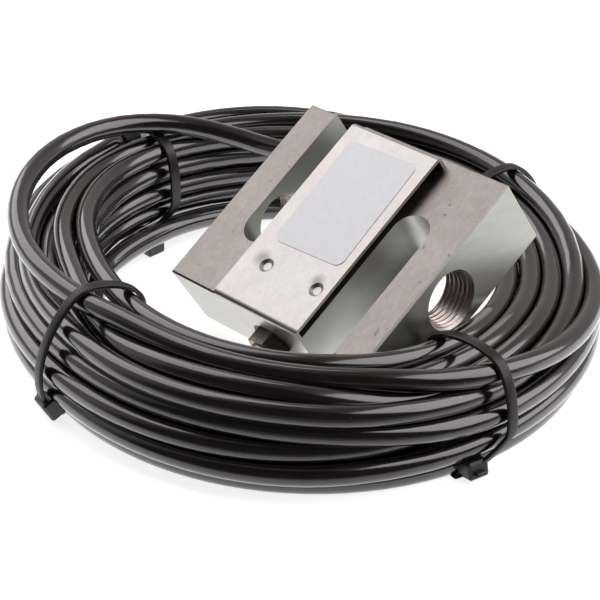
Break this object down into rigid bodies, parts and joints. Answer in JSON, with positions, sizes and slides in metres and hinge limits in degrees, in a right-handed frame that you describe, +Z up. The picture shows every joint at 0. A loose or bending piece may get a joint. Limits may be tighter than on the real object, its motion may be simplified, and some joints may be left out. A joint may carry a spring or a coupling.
{
  "type": "s-type load cell",
  "caption": "S-shaped steel force sensor with a threaded load hole in each outer bar, a raised sheet cover with a blank label, and a cable gland, resting on its tied cable coil.",
  "frame": {"origin": "middle of the S block, which lies tilted on its coiled cable", "axes": "+X along the load axis as it lies, towards the right bar; +Z up from the table; -Y towards the cable gland"},
  "size_m": [0.1355, 0.1371, 0.0458],
  "materials": {
    "block_steel": "satin ground steel",
    "cover_steel": "smooth satin sheet",
    "label": "matt silver film, blank",
    "gauge_foil": "foil on an amber carrier",
    "circuit_board": "green board",
    "resistor": "dark chip",
    "sealant": "soft pale compound",
    "gland_metal": "plated, dulled",
    "gland_seal": "soft rubber",
    "cable_jacket": "glossy black jacket",
    "wire_red": "smooth",
    "wire_black": "smooth",
    "wire_green": "smooth",
    "wire_white": "smooth",
    "tie_nylon": "black satin nylon",
    "end_sleeve": "shrunk black sleeve"
  },
  "bodies": {
    "root": {"spring_element": "block_steel", "upper_cover": "cover_steel", "lower_cover": "cover_steel", "rating_label": "label", "strain_gauge_1": "gauge_foil", "strain_gauge_2": "gauge_foil", "strain_gauge_3": "gauge_foil", "strain_gauge_4": "gauge_foil", "terminal_board": "circuit_board", "trim_resistors": "resistor", "upper_sealant": "sealant", "lower_sealant": "sealant", "gland_body": "gland_metal", "gland_nut": "gland_metal", "gland_seal": "gland_seal", "cable_tail": "cable_jacket", "wire_red": "wire_red", "wire_black": "wire_black", "wire_green": "wire_green", "wire_white": "wire_white", "cable_lead": "cable_jacket", "cable_coil": "cable_jacket", "cable_tie_1": "tie_nylon", "cable_tie_2": "tie_nylon", "cable_tie_3": "tie_nylon", "cable_tie_4": "tie_nylon", "cable_end_sleeve": "end_sleeve"}
  },
  "joints": []
}
